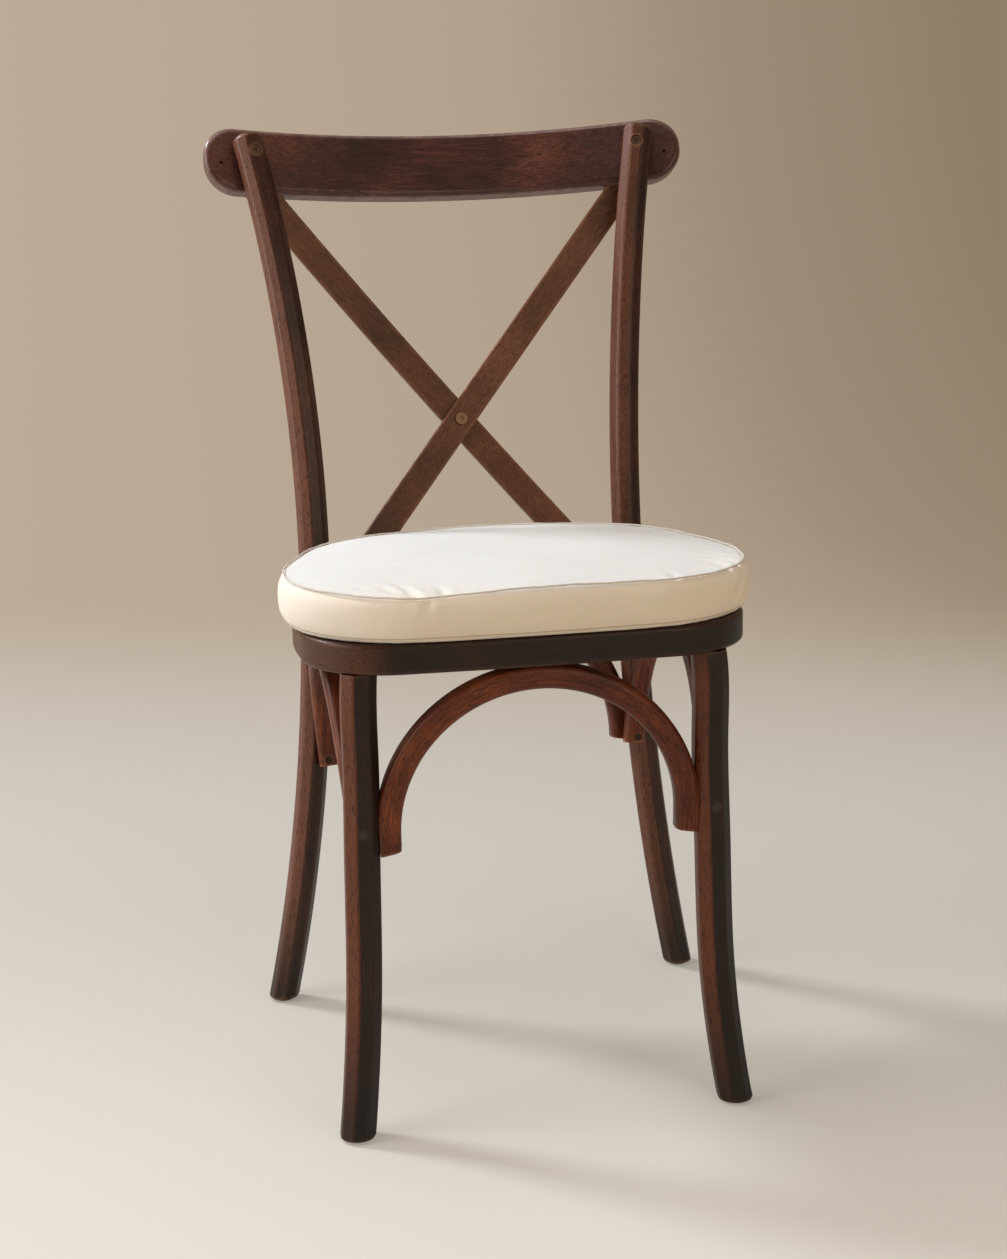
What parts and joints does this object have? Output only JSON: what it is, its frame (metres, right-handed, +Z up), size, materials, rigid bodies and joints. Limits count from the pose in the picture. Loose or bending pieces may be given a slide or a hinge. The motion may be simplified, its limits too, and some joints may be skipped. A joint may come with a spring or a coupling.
{
  "type": "cross back dining chair",
  "caption": "Bentwood dining chair with a crossed back, arched braces under a hoop seat and a loose boxed cushion, in dark walnut stain and off-white cloth",
  "frame": {"origin": "On the floor, in the middle of the chair's bounding box.", "axes": "+Z is up, the chair's front faces -Y, +X is to the right of someone looking at its front."},
  "size_m": [0.486, 0.5144, 0.88],
  "materials": {
    "walnut_stained_wood": "satin lacquer over dark walnut stain",
    "bare_wood": "unfinished",
    "bolt_steel": "dull plated",
    "glide_plastic": "matte",
    "cushion_cloth": "plain weave, welted seam"
  },
  "bodies": {
    "frame": {"crest_rail": "walnut_stained_wood", "rear_leg_left": "walnut_stained_wood", "rear_leg_right": "walnut_stained_wood", "cross_slat_front": "walnut_stained_wood", "cross_slat_back": "walnut_stained_wood", "front_leg_left": "walnut_stained_wood", "front_leg_right": "walnut_stained_wood", "front_arch": "walnut_stained_wood", "back_arch": "walnut_stained_wood", "left_arch": "walnut_stained_wood", "right_arch": "walnut_stained_wood", "seat_ring": "walnut_stained_wood", "seat_panel": "bare_wood", "front_leg_dowels": "bare_wood", "cross_bolt": "bolt_steel", "cross_nut": "bolt_steel", "crest_bolts": "bolt_steel", "crest_inserts": "bolt_steel", "crest_pins": "bolt_steel", "seat_bolts": "bolt_steel", "seat_inserts": "bolt_steel", "slat_screws": "bolt_steel", "arch_end_screws": "bolt_steel", "leg_screws": "bolt_steel", "arch_top_screws": "bolt_steel", "glide_front_left": "glide_plastic", "glide_front_right": "glide_plastic", "glide_rear_left": "glide_plastic", "glide_rear_right": "glide_plastic"},
    "cushion": {"cushion_foam": "cushion_cloth", "cushion_top_panel": "cushion_cloth", "cushion_boxing": "cushion_cloth", "cushion_bottom_panel": "cushion_cloth", "cushion_welt": "cushion_cloth"}
  },
  "joints": [
    {"name": "cushion_lift", "type": "slide", "parent": "frame", "child": "cushion", "axis": [0, 0, 1], "range_m": [0, 0.45]}
  ]
}
